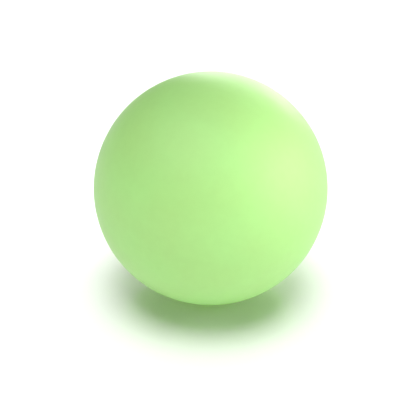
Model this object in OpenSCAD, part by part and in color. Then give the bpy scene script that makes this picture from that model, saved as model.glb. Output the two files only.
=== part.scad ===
// Quiet foam pickleball without holes.
//
// Two moulded foam cups are bonded rim to rim around a sealed hollow, then the
// ball is sealed with a base coat and finished with a pigmented colour coat.
// The origin is the ball's centre, and +Z is the axis through the crowns of the
// two cups, so the bond lies in the XY plane.

/* [Ball] */
// Outside diameter of the finished ball, in millimetres
ball_d = 74; // [73:0.1:75.4]

/* [Coats] */
// Thickness of the pigmented colour coat, the skin that is seen and struck
colour_coat_t = 0.25; // [0.2:0.05:0.5]
// Thickness of the base coat that seals the foam under the colour coat
base_coat_t = 0.25; // [0.2:0.05:0.5]

/* [Foam cups] */
// Diameter of the sealed hollow inside the two bonded cups
hollow_d = 48; // [40:0.5:54]
// Width of the tongue at its root, on the rim of the lower cup
tongue_w = 4; // [3:0.25:5]
// Height of the tongue above the lower cup's rim
tongue_h = 2.5; // [1.5:0.25:4]
// Draft of the tongue's two flanks, in degrees from the ball's axis
tongue_draft = 12; // [5:1:20]

/* [Bond] */
// Thickness of the adhesive film all along the joint between the cups
bond_t = 0.2; // [0.1:0.05:0.4]

/* [Hidden] */
$fn = 96;

ball_r = ball_d / 2;
base_coat_r = ball_r - colour_coat_t;
foam_r = base_coat_r - base_coat_t;
hollow_r = hollow_d / 2;
rim_mid_r = (foam_r + hollow_r) / 2; // the tongue runs round the middle of the rim
reach = ball_d; // how far the cutting profiles run, clear of the whole ball

// Where a tongue flank sits, in from the root, at a given height above the rim.
function flank_in(height) = height * tan(tongue_draft);

// How far the joint's flank moves sideways when the joint is raised by one film.
function film_side() = bond_t * (1 / cos(tongue_draft) - tan(tongue_draft));

// The joint's stepped line across the rim, from the axis outwards, at one level.
// Raised is 0 for the lower cup's face and 1 for the upper cup's face.
function joint_line(raised) =
    let (
        rim_z = -bond_t / 2 + raised * bond_t,
        crest_z = rim_z + tongue_h,
        half_root = tongue_w / 2 + raised * film_side(),
        half_crest = half_root - flank_in(tongue_h)
    ) [
        [0, rim_z],
        [rim_mid_r - half_root, rim_z],
        [rim_mid_r - half_crest, crest_z],
        [rim_mid_r + half_crest, crest_z],
        [rim_mid_r + half_root, rim_z],
        [reach, rim_z]
    ];

// Everything on one side of the joint, as a solid of revolution: below it when
// side is -1, and above it when side is 1.
module beside_joint(raised, side)
    rotate_extrude()
        polygon(concat(joint_line(raised), [[reach, side * reach], [0, side * reach]]));

// The foam of the whole ball as one thick shell, before it is parted.
module foam_shell()
    difference() {
        sphere(r = foam_r);
        sphere(r = hollow_r);
    }

// A closed coat that wraps the ball, from its inner radius to its outer radius.
module coat(inner_r, outer_r)
    difference() {
        sphere(r = outer_r);
        sphere(r = inner_r);
    }

// The lower foam cup carries the tongue on its rim.
module lower_foam_cup()
    color([0.62, 0.80, 0.46])
        intersection() {
            foam_shell();
            beside_joint(0, -1);
        }

// The upper foam cup carries the groove that the tongue sits in.
module upper_foam_cup()
    color([0.66, 0.84, 0.50])
        intersection() {
            foam_shell();
            beside_joint(1, 1);
        }

// The adhesive film fills the gap between the two rims, over the tongue.
module bond_film()
    color([0.93, 0.90, 0.74])
        intersection() {
            foam_shell();
            beside_joint(0, 1);
            beside_joint(1, -1);
        }

// The base coat fills the open cells at the surface and covers the bond.
module base_coat()
    color([0.86, 0.93, 0.78])
        coat(foam_r, base_coat_r);

// The colour coat is the smooth green skin.
module colour_coat()
    color([0.72, 0.94, 0.56])
        coat(base_coat_r, ball_r);

upper_foam_cup();
lower_foam_cup();
bond_film();
base_coat();
colour_coat();
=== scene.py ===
# %% [markdown]
# # A quiet foam pickleball without holes
#
# The real ball is two moulded foam cups, bonded rim to rim around a sealed hollow. A base coat
# fills the open cells of the foam, and a pigmented colour coat gives it the smooth green skin.
# The measuring and fitting is done already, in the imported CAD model. This lesson only adds looks:
# it models the skin and the foam with operators, gives every piece a procedural material, and
# lights the ball like a small object on a white table.

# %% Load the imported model
import math

import bpy
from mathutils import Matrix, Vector


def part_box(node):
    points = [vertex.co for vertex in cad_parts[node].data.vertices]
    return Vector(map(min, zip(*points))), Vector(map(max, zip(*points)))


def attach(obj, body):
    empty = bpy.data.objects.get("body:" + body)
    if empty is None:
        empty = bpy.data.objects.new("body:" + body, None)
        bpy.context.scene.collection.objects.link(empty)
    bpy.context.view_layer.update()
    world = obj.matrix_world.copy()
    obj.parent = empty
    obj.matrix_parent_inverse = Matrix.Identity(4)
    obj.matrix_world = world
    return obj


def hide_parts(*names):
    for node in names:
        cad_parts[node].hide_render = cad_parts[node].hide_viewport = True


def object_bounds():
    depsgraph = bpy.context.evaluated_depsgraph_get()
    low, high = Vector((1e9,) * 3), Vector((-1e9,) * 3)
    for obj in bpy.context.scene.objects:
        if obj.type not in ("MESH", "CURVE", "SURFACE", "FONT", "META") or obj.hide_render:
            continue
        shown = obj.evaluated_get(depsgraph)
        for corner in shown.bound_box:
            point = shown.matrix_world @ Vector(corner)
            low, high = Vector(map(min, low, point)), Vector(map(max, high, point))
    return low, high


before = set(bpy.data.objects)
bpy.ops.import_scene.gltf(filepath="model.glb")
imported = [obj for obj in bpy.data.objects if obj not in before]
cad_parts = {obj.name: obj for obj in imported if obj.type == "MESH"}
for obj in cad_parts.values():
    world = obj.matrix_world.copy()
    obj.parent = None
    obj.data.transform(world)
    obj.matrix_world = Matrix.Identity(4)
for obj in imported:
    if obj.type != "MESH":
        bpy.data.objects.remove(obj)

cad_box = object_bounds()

MM = 0.001
print("CAD nodes:", ", ".join(sorted(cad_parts)))
print("CAD box in mm:", [round(value / MM, 2) for corner in cad_box for value in corner])

# %% [markdown]
# ## Read the sizes off the CAD model
#
# The record says that the origin is the ball's centre. A ball's coats and hollow are all spheres
# about it, so a piece needs only two sizes: its nearest and furthest reach from the origin. Both
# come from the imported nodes, so the looks follow the CAD when it changes. The CAD surfaces are
# flat triangles, which makes a ball a few hundredths of a millimetre narrower than its diameter,
# so the skin takes the smallest extent.


def reach(node):
    """The nearest and the furthest distance of a node's corners from the ball's centre."""
    distances = [vertex.co.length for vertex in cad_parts[node].data.vertices]
    return min(distances), max(distances)


hollow_radius, foam_radius = reach("upper_foam_cup")
base_coat_radius = reach("base_coat")[1]
skin_radius = min(cad_box[1] - cad_box[0]) / 2
print("radii in mm: hollow %.2f, foam %.2f, base coat %.2f, skin %.2f" % tuple(
    radius / MM for radius in (hollow_radius, foam_radius, base_coat_radius, skin_radius)))

# %% Sizes of the joint between the cups
film_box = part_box("bond_film")
film_half = -film_box[0].z
tongue_height = film_box[1].z - film_half
tongue_width = 4 * MM
tongue_draft = math.radians(12)
rim_middle = (foam_radius + hollow_radius) / 2
print("bond film %.2f mm thick, tongue %.2f mm high" % (2 * film_half / MM, tongue_height / MM))

# %% [markdown]
# ## Modelling helpers
#
# An operator acts on everything that is selected, and loading the CAD leaves its nodes selected.
# So each step starts from a clean selection. A modifier is applied as soon as it has done its
# work, which leaves plain meshes that sit at the origin with their place in their points.

# %% Select, edit and apply
def start_clean():
    """Deselect every object."""
    bpy.ops.object.select_all(action="DESELECT")


def edit_all(piece):
    """Enter edit mode on one piece with all of it selected."""
    start_clean()
    piece.select_set(True)
    bpy.context.view_layer.objects.active = piece
    bpy.ops.object.mode_set(mode="EDIT")
    bpy.ops.mesh.select_all(action="SELECT")


def leave_edit():
    """Go back to object mode."""
    bpy.ops.object.mode_set(mode="OBJECT")


def apply_modifier(piece, kind, **settings):
    """Add one modifier with its settings, and apply it at once."""
    modifier = piece.modifiers.new(kind.lower(), kind)
    for setting, value in settings.items():
        setattr(modifier, setting, value)
    bpy.context.view_layer.objects.active = piece
    bpy.ops.object.modifier_apply(modifier=modifier.name)


def triangles(piece):
    """How many triangles a piece has."""
    return sum(len(face.vertices) - 2 for face in piece.data.polygons)


def wave(name, size, octaves=1):
    """A soft cloud pattern for displacement, with patches of about the given size."""
    texture = bpy.data.textures.new(name, "CLOUDS")
    texture.noise_scale = size
    texture.noise_depth = octaves
    return texture


# %% [markdown]
# ## The two coats as geometry
#
# Both coats are sprayed on and flow before they set. On the skin that leaves two kinds of
# unevenness: a slow swell, because the foam under it is never quite round, and a fine orange peel.
# The base coat sinks into the open cells of the foam and dries with shallow dimples. A UV sphere
# would pinch such patterns at its poles. A cube that is subdivided and cast to a sphere has no
# poles, and its faces are all about the same size. A coat only dips inwards from its full radius,
# so it stays inside its CAD piece. Its inner wall is a second, coarser ball that lies a hair clear
# of the layer under it.

# %% A ball without poles
def round_cube(name, radius, cuts):
    """A subdivided cube cast to a sphere."""
    start_clean()
    bpy.ops.mesh.primitive_cube_add(size=2 * radius)
    ball = bpy.context.object
    ball.name = name
    ball.data.name = name
    edit_all(ball)
    bpy.ops.mesh.subdivide(number_cuts=cuts)
    leave_edit()
    apply_modifier(ball, "CAST", cast_type="SPHERE", factor=1, size=radius, use_radius_as_size=False)
    return ball


# %% Dips in a face, and the wall behind it
film_of_air = 0.01 * MM
wall_cuts = 47


def dimple(piece, pattern, size, depth, octaves=1):
    """Let a face dip inwards, by up to the given depth, in patches of the given size."""
    apply_modifier(piece, "DISPLACE", texture=wave(pattern, size, octaves),
                   texture_coords="LOCAL", mid_level=1, strength=depth)


def line_with_wall(coat, radius):
    """Close a coat with an inner wall: a ball turned inside out and joined to it."""
    wall = round_cube(coat.name + "_wall", radius, wall_cuts)
    edit_all(wall)
    bpy.ops.mesh.flip_normals()
    leave_edit()
    start_clean()
    wall.select_set(True)
    coat.select_set(True)
    bpy.context.view_layer.objects.active = coat
    bpy.ops.object.join()
    bpy.ops.object.shade_smooth()
    print(coat.name + ":", triangles(coat), "triangles")


# %% The skin
skin_cuts = 99
swell_depth = 0.06 * MM
swell_size = 24 * MM
peel_depth = 0.016 * MM
peel_size = 2.2 * MM

colour_skin = round_cube("colour_skin", skin_radius, skin_cuts)
dimple(colour_skin, "skin_swell", swell_size, swell_depth)
dimple(colour_skin, "skin_peel", peel_size, peel_depth, octaves=2)
line_with_wall(colour_skin, base_coat_radius + film_of_air)

# %% The base coat
primer_cuts = 79
cell_dip_depth = 0.03 * MM
cell_dip_size = 3 * MM

primer_shell = round_cube("primer_shell", base_coat_radius, primer_cuts)
dimple(primer_shell, "cell_dips", cell_dip_size, cell_dip_depth, octaves=2)
line_with_wall(primer_shell, foam_radius + film_of_air)

# %% [markdown]
# ## The foam cups
#
# Each cup is a thick half shell that comes out of a heated mould. The lower one has a tongue all
# round its rim and the upper one a groove, so the halves find each other when they are glued. A
# cup is round about the ball's axis, so this piece starts as a UV sphere, whose rings run round
# that axis. It is cut across at the rim, and the flat face that fills the cut is inset again and
# again: outwards along the tongue, or inwards along the groove, and then down the hollow. The
# outline could also be drawn and spun, but insets follow the rings that are there already. The
# rim's corners are then rounded a little, because foam doesn't come out of a mould with sharp
# edges, and the outer face gets the slight unevenness of the mould.

# %% Pick the flat face of a cut
hair = 0.001 * MM


def select_cap(piece, level):
    """Select only the one big face that lies at a level."""
    bpy.ops.mesh.select_mode(type="FACE")
    bpy.ops.mesh.select_all(action="DESELECT")
    leave_edit()
    for face in piece.data.polygons:
        face.select = abs(face.center.z - level) < hair and len(face.vertices) > 4
    bpy.ops.object.mode_set(mode="EDIT")


def inset_step(inwards, along):
    """One step of an outline: inwards towards the axis, and along the face's own normal."""
    bpy.ops.mesh.inset(thickness=inwards, depth=along, use_even_offset=True)


# %% The joint's outline across a rim
def inset_joint(rim_radius, level, side, up):
    """Tongue or groove across a rim. up is 1 where the face looks up, and -1 where it looks down."""
    root = tongue_width / 2 + side
    flank = tongue_height * math.tan(tongue_draft)
    crest = root - flank
    inset_step(rim_radius - (rim_middle + root), 0)
    inset_step(flank, up * tongue_height)
    inset_step(2 * crest, 0)
    inset_step(flank, -up * tongue_height)
    inset_step(rim_middle - root - math.sqrt(hollow_radius ** 2 - level ** 2), 0)


# %% The hollow's outline below the rim
hollow_steps = 30
pole_gap = 0.5 / hollow_steps  # the share of the quarter arc that is left open round the pole


def inset_hollow(level):
    """Step down a quarter arc to just short of the hollow's pole, then close it."""
    start = math.asin(abs(level) / hollow_radius)
    last = math.pi / 2 * (1 - pole_gap)
    angles = [start + (last - start) * step / hollow_steps for step in range(hollow_steps + 1)]
    for shallow, deep in zip(angles, angles[1:]):
        inwards = hollow_radius * (math.cos(shallow) - math.cos(deep))
        down = hollow_radius * (math.sin(deep) - math.sin(shallow))
        inset_step(inwards, -down)
    opening = hollow_radius * math.cos(last)
    bpy.ops.mesh.inset(thickness=opening / 2, depth=0)
    bpy.ops.mesh.merge(type="CENTER")


# %% One cup
cup_segments = 192
cup_rings = 120
foam_relief = 0.08 * MM
foam_relief_size = 3.5 * MM
rim_rounding = 0.3 * MM
rounding_steps = 3
edge_angle = math.radians(40)
smooth_angle = math.radians(35)
blank_radius = foam_radius - foam_relief  # the relief then reaches halfway to the full radius


def foam_cup(name, crown, level, side):
    """A foam cup with its crown up when crown is 1, and down when it is -1."""
    start_clean()
    bpy.ops.mesh.primitive_uv_sphere_add(
        segments=cup_segments, ring_count=cup_rings, radius=blank_radius)
    cup = bpy.context.object
    cup.name = name
    cup.data.name = name
    edit_all(cup)
    bpy.ops.mesh.bisect(plane_co=(0, 0, level), plane_no=(0, 0, crown), use_fill=True,
                        clear_inner=True, threshold=hair)
    bpy.ops.mesh.select_all(action="SELECT")
    bpy.ops.mesh.normals_make_consistent(inside=False)
    select_cap(cup, level)
    inset_joint(math.sqrt(blank_radius ** 2 - level ** 2), level, side, -crown)
    inset_hollow(level)
    bpy.ops.mesh.select_all(action="SELECT")
    bpy.ops.mesh.remove_doubles(threshold=hair)
    bpy.ops.mesh.normals_make_consistent(inside=False)
    leave_edit()
    apply_modifier(cup, "BEVEL", width=rim_rounding, segments=rounding_steps, limit_method="ANGLE",
                   angle_limit=edge_angle)
    apply_modifier(cup, "DISPLACE", texture=wave(name + "_relief", foam_relief_size),
                   texture_coords="LOCAL", mid_level=0.5, strength=foam_relief)
    start_clean()
    cup.select_set(True)
    bpy.ops.object.shade_smooth_by_angle(angle=smooth_angle)
    print(name + ":", triangles(cup), "triangles")
    return cup


# %% Both cups
# The groove is wider than the tongue on each side, by the film as it lies along a slanted flank.
film_side = 2 * film_half * (1 / math.cos(tongue_draft) - math.tan(tongue_draft))
lower_cup = foam_cup("lower_cup", crown=-1, level=-film_half, side=0)
upper_cup = foam_cup("upper_cup", crown=1, level=film_half, side=film_side)
print("groove %.3f mm wider than the tongue on each side" % (film_side / MM))

# %% [markdown]
# ## Shader building blocks
#
# The ball's materials share three effects: a slow drift of tone, the texture of a sprayed film,
# and the cells of foam. Each could be copied into every material, but it is built once as a node
# group with named inputs and outputs, so one change reaches every piece. A group puts out only
# colours, masks and heights, and every material keeps its own shader.
# All patterns read Object coordinates, which are metres about the ball's centre, so a pattern's
# scale is one over the size of its patches in metres.

# %% Nodes and groups
def new_group(name, inputs, outputs):
    """A shader group with named sockets. inputs and outputs hold (name, kind, default)."""
    group = bpy.data.node_groups.new(name, "ShaderNodeTree")
    for socket_name, kind, default in inputs:
        socket = group.interface.new_socket(socket_name, in_out="INPUT", socket_type="NodeSocket" + kind)
        if default is not None:
            socket.default_value = default
    for socket_name, kind in outputs:
        group.interface.new_socket(socket_name, in_out="OUTPUT", socket_type="NodeSocket" + kind)
    return group, group.nodes.new("NodeGroupInput"), group.nodes.new("NodeGroupOutput")


def add(tree, kind, **settings):
    """Add a node, setting its own options by name."""
    node = tree.nodes.new("ShaderNode" + kind)
    for setting, value in settings.items():
        setattr(node, setting, value)
    return node


def link(tree, source, target):
    """Join an output to an input."""
    tree.links.new(source, target)


def maths(tree, operation, first, second):
    """One sum on two values, each a socket or a number."""
    node = add(tree, "Math", operation=operation)
    for socket, value in zip(node.inputs, (first, second)):
        if isinstance(value, (int, float)):
            socket.default_value = value
        else:
            link(tree, value, socket)
    return node.outputs["Value"]


def spread(tree, value, low, high, to_low, to_high):
    """Stretch a value from one range to another, and clamp it."""
    node = add(tree, "MapRange")
    link(tree, value, node.inputs["Value"])
    for name, number in zip(("From Min", "From Max", "To Min", "To Max"), (low, high, to_low, to_high)):
        node.inputs[name].default_value = number
    return node.outputs["Result"]


def noise(tree, vector, scale, detail=2.0, roughness=0.5):
    """A soft random pattern between 0 and 1. scale is a number or a socket."""
    node = add(tree, "TexNoise")
    link(tree, vector, node.inputs["Vector"])
    node.inputs["Detail"].default_value = detail
    node.inputs["Roughness"].default_value = roughness
    if isinstance(scale, (int, float)):
        node.inputs["Scale"].default_value = scale
    else:
        link(tree, scale, node.inputs["Scale"])
    return node.outputs["Fac"]


# %% Noise stretched to a full range
noise_low = 0.3
noise_high = 0.7


def stretched(tree, pattern, to_low, to_high):
    """Noise keeps near its middle, so this stretches the part that it really covers."""
    return spread(tree, pattern, noise_low, noise_high, to_low, to_high)


# %% Tone drift
speck_finer = 7.3
patch_share = 0.7
speck_share = 0.3
no_shift = 0.5  # a hue of 0.5 leaves a colour as it is


def make_tone_drift():
    """Colour that is a little lighter, darker, warmer or cooler from patch to patch."""
    group, given, result = new_group(
        "tone_drift",
        [("Vector", "Vector", None), ("Colour", "Color", (0.8, 0.8, 0.8, 1)), ("Scale", "Float", 60.0),
         ("Lightness", "Float", 0.05), ("Hue", "Float", 0.01)],
        [("Colour", "Color")])
    vector = given.outputs["Vector"]
    patches = stretched(group, noise(group, vector, given.outputs["Scale"], 3.0), -1, 1)
    finer = maths(group, "MULTIPLY", given.outputs["Scale"], speck_finer)
    specks = stretched(group, noise(group, vector, finer, 2.0), -1, 1)
    both = maths(group, "ADD", maths(group, "MULTIPLY", patches, patch_share),
                 maths(group, "MULTIPLY", specks, speck_share))
    shift = add(group, "HueSaturation")
    link(group, given.outputs["Colour"], shift.inputs["Color"])
    hue = maths(group, "ADD", maths(group, "MULTIPLY", patches, given.outputs["Hue"]), no_shift)
    lightness = maths(group, "ADD", maths(group, "MULTIPLY", both, given.outputs["Lightness"]), 1.0)
    link(group, hue, shift.inputs["Hue"])
    link(group, lightness, shift.inputs["Value"])
    link(group, shift.outputs["Color"], result.inputs["Colour"])
    return group


# %% Sprayed film
tooth_share = 0.12
pinhole_share = 0.5
bubbly_scale = 90.0
bubbly_level = 0.6  # pinholes come only where a slow pattern is above this


def make_sprayed_film():
    """Orange peel with a fine tooth on it, and a few pinholes where bubbles burst."""
    group, given, result = new_group(
        "sprayed_film",
        [("Vector", "Vector", None), ("Peel Scale", "Float", 500.0), ("Tooth Scale", "Float", 4000.0),
         ("Pinhole Scale", "Float", 300.0), ("Pinhole Width", "Float", 0.06)],
        [("Height", "Float"), ("Tooth", "Float"), ("Pinholes", "Float")])
    vector = given.outputs["Vector"]
    peel = noise(group, vector, given.outputs["Peel Scale"], 1.0)
    tooth = noise(group, vector, given.outputs["Tooth Scale"], 2.0, 0.6)
    bubbles = add(group, "TexVoronoi", feature="F1")
    link(group, vector, bubbles.inputs["Vector"])
    link(group, given.outputs["Pinhole Scale"], bubbles.inputs["Scale"])
    chosen = maths(group, "GREATER_THAN", noise(group, vector, bubbly_scale, 1.0), bubbly_level)
    inside = maths(group, "SUBTRACT", given.outputs["Pinhole Width"], bubbles.outputs["Distance"])
    dip = maths(group, "DIVIDE", inside, given.outputs["Pinhole Width"])
    pinholes = maths(group, "MULTIPLY", maths(group, "MAXIMUM", dip, 0.0), chosen)
    raised = maths(group, "ADD", peel, maths(group, "MULTIPLY", tooth, tooth_share))
    height = maths(group, "SUBTRACT", raised, maths(group, "MULTIPLY", pinholes, pinhole_share))
    link(group, height, result.inputs["Height"])
    link(group, tooth, result.inputs["Tooth"])
    link(group, pinholes, result.inputs["Pinholes"])
    return group


# %% Foam cells
small_cells = 2.7
small_cell_share = 0.6
wall_width = 0.22


def make_foam_cells():
    """Closed cells pressed against each other, in two sizes, with thin raised walls."""
    group, given, result = new_group(
        "foam_cells",
        [("Vector", "Vector", None), ("Scale", "Float", 1600.0)],
        [("Height", "Float"), ("Walls", "Float")])
    walls = []
    for factor in (1.0, small_cells):
        cells = add(group, "TexVoronoi", feature="DISTANCE_TO_EDGE")
        link(group, given.outputs["Vector"], cells.inputs["Vector"])
        link(group, maths(group, "MULTIPLY", given.outputs["Scale"], factor), cells.inputs["Scale"])
        walls.append(spread(group, cells.outputs["Distance"], 0.0, wall_width, 1, 0))
    both = maths(group, "MAXIMUM", walls[0], maths(group, "MULTIPLY", walls[1], small_cell_share))
    link(group, both, result.inputs["Height"])
    link(group, walls[0], result.inputs["Walls"])
    return group


# %% Build the groups
tone_drift = make_tone_drift()
sprayed_film = make_sprayed_film()
foam_cells = make_foam_cells()
print("shader groups:", ", ".join(sorted(group.name for group in bpy.data.node_groups)))

# %% A material with its shader, and groups placed in it
def new_material(name):
    """A material with a Principled shader. Gives back its node tree, shader and Object coordinates."""
    material = bpy.data.materials.new(name)
    material.use_nodes = True
    tree = material.node_tree
    return material, tree, tree.nodes["Principled BSDF"], add(tree, "TexCoord").outputs["Object"]


def place(tree, group, vector, **values):
    """Put a group into a material on a vector, with its own values. _ in a name stands for a space."""
    node = add(tree, "Group", node_tree=group)
    link(tree, vector, node.inputs["Vector"])
    for name, value in values.items():
        node.inputs[name.replace("_", " ")].default_value = value
    return node


def bump(tree, shader, height, depth):
    """Turn a height from 0 to 1 into a relief of the given depth in metres."""
    node = add(tree, "Bump")
    node.inputs["Strength"].default_value = 1
    node.inputs["Distance"].default_value = depth
    link(tree, height, node.inputs["Height"])
    link(tree, node.outputs["Normal"], shader.inputs["Normal"])


def wear(piece, material):
    """Give a piece one material in all its slots."""
    if not piece.material_slots:
        piece.data.materials.append(material)
    for material_slot in piece.material_slots:
        material_slot.material = material


# %% [markdown]
# ## The green skin
#
# The skin is a flexible coat with pigment all through it. It is satin: it reflects in a wide, soft
# bloom and shows no sharp highlight. Light also soaks a little way into a real coat. That could be
# made with subsurface scattering, but the pale base coat sends the light straight back, so a plain
# colour gives the same look with less noise. The tone hardly changes over the ball, but it isn't
# one flat number either: the coat is a little denser where it flowed together, its gloss drifts
# from patch to patch, and a few pinholes show on a close look.

# %% Skin material
skin_green = (0.440, 0.800, 0.257, 1)
skin_relief = 0.016 * MM
satin = (0.37, 0.44)  # roughness where the coat is glossiest and where it is dullest
satin_scale = 70.0
satin_tooth = 0.03
skin_reflection = 0.22


def make_skin():
    """Satin green coat with a soft orange peel."""
    material, tree, shader, where = new_material("green_coat")
    film = place(tree, sprayed_film, where, Peel_Scale=420, Tooth_Scale=3200,
                 Pinhole_Scale=260, Pinhole_Width=0.05)
    tone = place(tree, tone_drift, where, Colour=skin_green, Scale=55, Lightness=0.030, Hue=0.0035)
    gloss = stretched(tree, noise(tree, where, satin_scale, 3.0), *satin)
    gloss_fine = maths(tree, "ADD", gloss, maths(tree, "MULTIPLY", film.outputs["Tooth"], satin_tooth))
    link(tree, tone.outputs["Colour"], shader.inputs["Base Color"])
    link(tree, gloss_fine, shader.inputs["Roughness"])
    shader.inputs["Specular IOR Level"].default_value = skin_reflection
    bump(tree, shader, film.outputs["Height"], skin_relief)
    return material


wear(colour_skin, make_skin())

# %% [markdown]
# ## The layers under the skin
#
# The base coat is a chalky pale green primer. It soaks into the foam, so the cells print through it
# faintly. The foam is matte, and its cells are a fraction of a millimetre across, lighter at their
# walls. The adhesive dries to a tough cream film with tiny bubbles. None of them shows on the whole
# ball, so they could be left plain, but each is a real layer that shows once the ball is taken
# apart, and it is finished like one.

# %% Base coat
primer_green = (0.86, 0.93, 0.78, 1)
primer_relief = 0.02 * MM
chalky = (0.68, 0.86)
cell_print = 0.35


def make_base_coat():
    """Chalky primer with the foam's cells printed through."""
    material, tree, shader, where = new_material("pale_primer")
    film = place(tree, sprayed_film, where, Peel_Scale=650, Tooth_Scale=5200,
                 Pinhole_Scale=420, Pinhole_Width=0.12)
    cells = place(tree, foam_cells, where, Scale=1500)
    tone = place(tree, tone_drift, where, Colour=primer_green, Scale=80, Lightness=0.05, Hue=0.006)
    printed = maths(tree, "MULTIPLY", cells.outputs["Height"], cell_print)
    relief = maths(tree, "ADD", film.outputs["Height"], printed)
    link(tree, tone.outputs["Colour"], shader.inputs["Base Color"])
    link(tree, stretched(tree, film.outputs["Tooth"], *chalky), shader.inputs["Roughness"])
    bump(tree, shader, relief, primer_relief)
    return material


wear(primer_shell, make_base_coat())

# %% Foam
foam_green = (0.62, 0.80, 0.46, 1)
foam_green_light = (0.66, 0.84, 0.50, 1)
foam_reflection = 0.25
cell_relief = 0.06 * MM


def make_foam(name, colour):
    """Closed cell foam, lighter along the walls of its cells."""
    material, tree, shader, where = new_material(name)
    cells = place(tree, foam_cells, where, Scale=1300)
    tone = place(tree, tone_drift, where, Colour=colour, Scale=110, Lightness=0.10, Hue=0.008)
    walls = cells.outputs["Walls"]
    paler = add(tree, "HueSaturation")
    link(tree, tone.outputs["Colour"], paler.inputs["Color"])
    link(tree, spread(tree, walls, 0, 1, 0.92, 1.12), paler.inputs["Value"])
    link(tree, spread(tree, walls, 0, 1, 1.05, 0.85), paler.inputs["Saturation"])
    link(tree, paler.outputs["Color"], shader.inputs["Base Color"])
    link(tree, spread(tree, cells.outputs["Height"], 0, 1, 0.92, 0.78), shader.inputs["Roughness"])
    shader.inputs["Specular IOR Level"].default_value = foam_reflection
    bump(tree, shader, cells.outputs["Height"], cell_relief)
    return material


wear(lower_cup, make_foam("green_foam", foam_green))
wear(upper_cup, make_foam("green_foam_light", foam_green_light))

# %% Adhesive
adhesive_cream = (0.93, 0.90, 0.74, 1)
adhesive_relief = 0.03 * MM


def make_adhesive():
    """Tough cream film with tiny bubbles."""
    material, tree, shader, where = new_material("cream_adhesive")
    film = place(tree, sprayed_film, where, Peel_Scale=900, Tooth_Scale=6000,
                 Pinhole_Scale=1100, Pinhole_Width=0.3)
    tone = place(tree, tone_drift, where, Colour=adhesive_cream, Scale=240, Lightness=0.08, Hue=0.006)
    link(tree, tone.outputs["Colour"], shader.inputs["Base Color"])
    link(tree, spread(tree, film.outputs["Pinholes"], 0, 1, 0.32, 0.7), shader.inputs["Roughness"])
    bump(tree, shader, film.outputs["Height"], adhesive_relief)
    return material


wear(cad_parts["bond_film"], make_adhesive())
print("materials:", ", ".join(sorted(material.name for material in bpy.data.materials)))

# %% [markdown]
# ## Tell the frame what each piece is
#
# A ball has one rigid body and no joints, so everything rides on the body named root. The skin, the
# base coat and the two cups stand for their CAD nodes. The bond film is the CAD node itself, in a
# better material.

# %% Ride and replace
for piece, node, finish in (
    (colour_skin, "colour_coat", "colour_coat"),
    (primer_shell, "base_coat", "base_coat"),
    (lower_cup, "lower_foam_cup", "foam"),
    (upper_cup, "upper_foam_cup", "foam"),
):
    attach(piece, "root")
    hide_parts(node)
    print(piece.name, "stands for", node)

# %% [markdown]
# ## Table, camera and lights
#
# The ball lies on a plain white table, and the camera looks down on it. Most lamps are far, wide
# and soft, and two small bulbs close by draw the bright zone on the ball's right. One set of lamps
# for everything would either grey the table or burn out the ball. So, as with flags in a studio,
# some lamps are kept off the table and light only the ball, and others are kept off the ball and
# light only the table. The ball keeps its gentle shading, and the table stays pure white around
# its shadow.

# %% White table
floor_level = cad_box[0].z
table_size = 12
start_clean()
bpy.ops.mesh.primitive_plane_add(size=table_size, location=(0, 0, floor_level))
floor = bpy.context.object
floor.name = "floor"
print("table at z = %.2f mm" % (floor_level / MM))

# %% Table material
board_white = (0.97, 0.97, 0.97, 1)
pure_white = (1, 1, 1, 1)
sheen_share = 0.08
sheen_roughness = 0.15


def make_table():
    """White board with a weak, soft reflection that is the same from every side."""
    material = bpy.data.materials.new("white_table")
    material.use_nodes = True
    tree = material.node_tree
    tree.nodes.remove(tree.nodes["Principled BSDF"])
    board = add(tree, "BsdfDiffuse")
    board.inputs["Color"].default_value = board_white
    sheen = add(tree, "BsdfGlossy")
    sheen.inputs["Color"].default_value = pure_white
    sheen.inputs["Roughness"].default_value = sheen_roughness
    both = add(tree, "MixShader")
    both.inputs["Fac"].default_value = sheen_share
    link(tree, board.outputs["BSDF"], both.inputs[1])
    link(tree, sheen.outputs["BSDF"], both.inputs[2])
    link(tree, both.outputs["Shader"], tree.nodes["Material Output"].inputs["Surface"])
    return material


wear(floor, make_table())

# %% Camera
camera_height = math.radians(28.7)
lens = 60
sensor = 36
ball_share = 0.5857  # of the picture's width
aim_right = -3.3 * MM
aim_up = -3.68 * MM

half_view = math.atan(sensor / 2 / lens)
half_ball = math.atan(ball_share * math.tan(half_view))
camera_distance = skin_radius / math.sin(half_ball)

bpy.ops.object.camera_add()
camera = bpy.context.object
camera.name = "camera"
camera.data.lens = lens
camera.data.sensor_width = sensor
camera.data.clip_start = 0.01
camera.data.clip_end = 30
to_camera = Vector((0, -math.cos(camera_height), math.sin(camera_height)))
view_up = Vector((0, math.sin(camera_height), math.cos(camera_height)))
camera.location = to_camera * camera_distance
aim = Vector((1, 0, 0)) * aim_right + view_up * aim_up
camera.rotation_euler = (aim - camera.location).to_track_quat("-Z", "Y").to_euler()
bpy.context.scene.camera = camera
print("camera %.0f mm from the ball's centre" % (camera_distance / MM))

# %% What each lamp may light
only_ball = bpy.data.collections.new("lit_ball")
only_table = bpy.data.collections.new("lit_table")
for piece in (colour_skin, primer_shell, lower_cup, upper_cup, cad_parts["bond_film"]):
    only_ball.objects.link(piece)
only_table.objects.link(floor)

# %% Lamps
bulb_radius = 8 * MM


def towards(azimuth, elevation):
    """A direction seen from the ball. Azimuth is 0 behind the camera and 90 on its right, in degrees."""
    turn, rise = math.radians(azimuth), math.radians(elevation)
    return Vector((math.sin(turn) * math.cos(rise), -math.cos(turn) * math.cos(rise), math.sin(rise)))


def new_lamp(name, kind, strength, lights):
    """A lamp that lights only one collection."""
    bpy.ops.object.light_add(type=kind)
    lamp = bpy.context.object
    lamp.name = name
    lamp.data.name = name
    lamp.data.energy = strength
    lamp.light_linking.receiver_collection = lights
    return lamp


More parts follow.
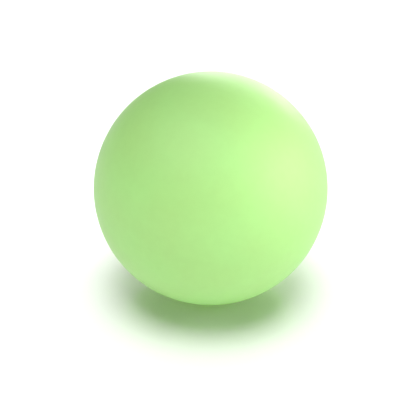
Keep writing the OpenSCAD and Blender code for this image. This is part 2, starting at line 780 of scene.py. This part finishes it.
def far_lamp(name, azimuth, elevation, width, strength, lights):
    """A softbox so far off that its light is even. Width is the angle that it fills, in degrees."""
    lamp = new_lamp(name, "SUN", strength, lights)
    lamp.data.angle = math.radians(width)
    lamp.rotation_euler = towards(azimuth, elevation).to_track_quat("Z", "Y").to_euler()
    return lamp


def near_lamp(name, spot, strength, lights):
    """A small bare bulb close to the ball. It is out of sight, and so is its reflection."""
    lamp = new_lamp(name, "POINT", strength, lights)
    lamp.data.shadow_soft_size = bulb_radius
    lamp.location = spot
    lamp.visible_camera = False
    lamp.visible_glossy = False
    return lamp


# %% Lamps on the table
far_lamp("table_overhead", 0, 87, 46, 2.05, only_table)
far_lamp("table_front", 0, 77, 28, 1.10, only_table)
far_lamp("table_right", 90, 20, 36, 0.84, only_table)
far_lamp("table_left", 270, 20, 36, 0.72, only_table)
far_lamp("table_back", 180, 20, 36, 0.84, only_table)

# %% Lamps on the ball
far_lamp("ball_top_front", 0, 62, 60, 0.92, only_ball)
far_lamp("ball_top_left", 300, 62, 60, 1.32, only_ball)
far_lamp("ball_top_right", 60, 35, 60, 0.90, only_ball)
side_right = far_lamp("ball_side_right", 117, 8, 40, 1.76, only_ball)
side_right.visible_glossy = False  # its reflection would draw a streak down the ball
far_lamp("ball_rim", 165, 8, 44, 1.78, only_ball)
far_lamp("ball_rim_right", 150, 4, 30, 0.20, only_ball)
near_lamp("ball_glow_wide", towards(42, 20) * 120 * MM, 0.0520, only_ball)
near_lamp("ball_glow_close", towards(44, 31) * 60 * MM, 0.0080, only_ball)

# %% Green light that soaks through the foam and bounces under the ball
soak_height = 16 * MM
soaked = near_lamp("soaked_light", Vector((0, 0, floor_level + soak_height)), 0.0026, only_table)
soaked.data.color = (0.55, 1.0, 0.05)
soaked.light_linking.blocker_collection = only_table

# %% White surround
# The camera sees white all round, but the surround lights nothing, so the lamps alone shape the ball.
surround_strength = 1.2

world = bpy.data.worlds.new("white_surround")
bpy.context.scene.world = world
world.use_nodes = True
surround = world.node_tree
background = surround.nodes["Background"]
background.inputs["Color"].default_value = pure_white
seen = add(surround, "LightPath").outputs["Is Camera Ray"]
link(surround, spread(surround, seen, 0, 1, 0.0, surround_strength), background.inputs["Strength"])

bpy.context.scene.view_settings.view_transform = "Standard"
